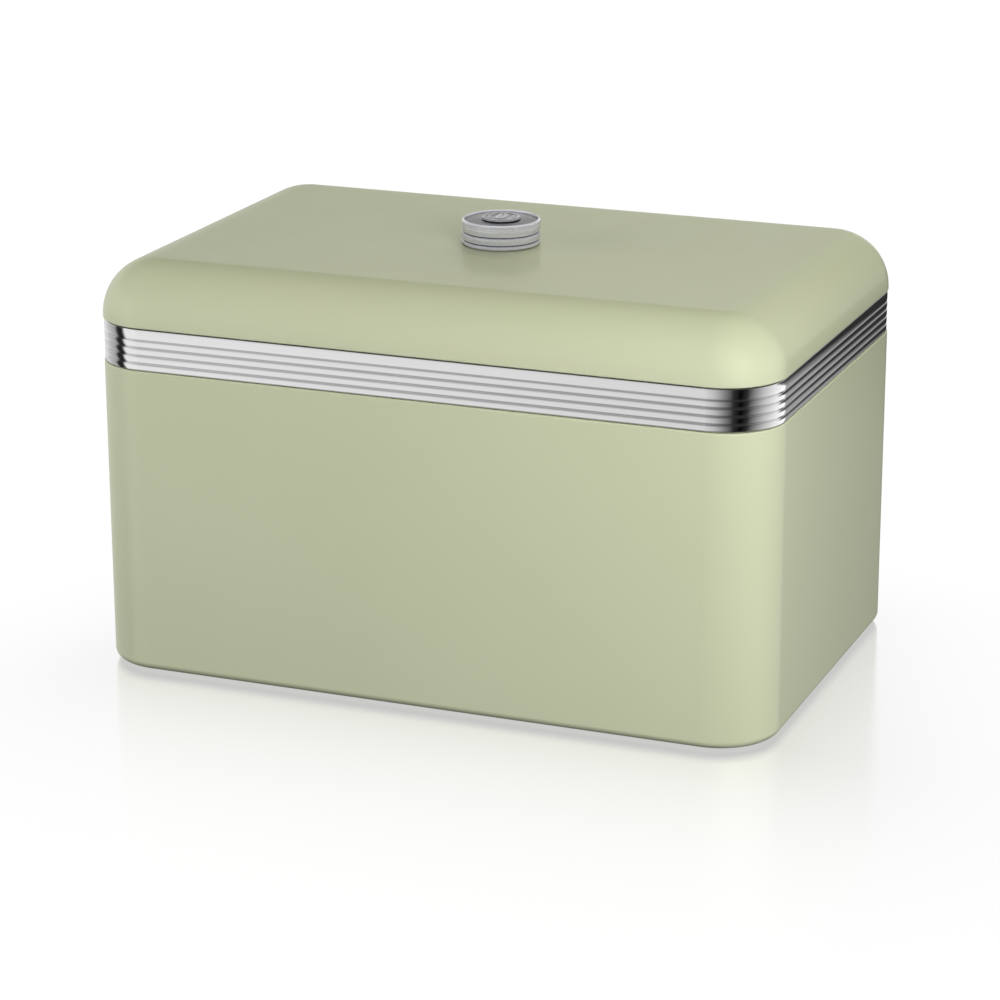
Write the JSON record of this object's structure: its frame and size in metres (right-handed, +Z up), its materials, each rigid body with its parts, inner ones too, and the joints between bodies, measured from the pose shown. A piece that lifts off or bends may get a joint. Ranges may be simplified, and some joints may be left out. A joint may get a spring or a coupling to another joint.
{
  "type": "bread bin",
  "caption": "Rectangular bread bin of painted sheet steel with rounded corners, a ribbed polished steel band below the lid, and a lift-off lid with a ribbed round knob.",
  "frame": {"origin": "middle of the footprint, on the surface that the feet stand on", "axes": "+X to the right along the long side, +Y to the back, +Z up"},
  "size_m": [0.345, 0.227, 0.2183],
  "materials": {
    "paint": "satin",
    "band_steel": "polished",
    "knob_steel": "fine brushed",
    "fastener_steel": "zinc plated",
    "rubber": "matte",
    "silicone": "satin"
  },
  "bodies": {
    "bin": {"body_wall": "paint", "neck_ring": "paint", "base_pan": "paint", "trim_band": "band_steel", "band_joint_strap": "fastener_steel", "foot_front_left": "rubber", "foot_front_right": "rubber", "foot_back_left": "rubber", "foot_back_right": "rubber"},
    "lid": {"lid_shell": "paint", "lid_collar": "paint", "lid_seal": "silicone", "knob_barrel": "knob_steel", "knob_cap": "knob_steel", "knob_emblem": "knob_steel", "knob_insert": "fastener_steel", "knob_pad": "silicone", "knob_washer": "fastener_steel", "knob_lock_washer": "fastener_steel", "knob_screw": "fastener_steel"}
  },
  "joints": [
    {"name": "lid_lift", "type": "slide", "parent": "bin", "child": "lid", "axis": [0, 0, 1], "range_m": [0, 0.2]}
  ]
}
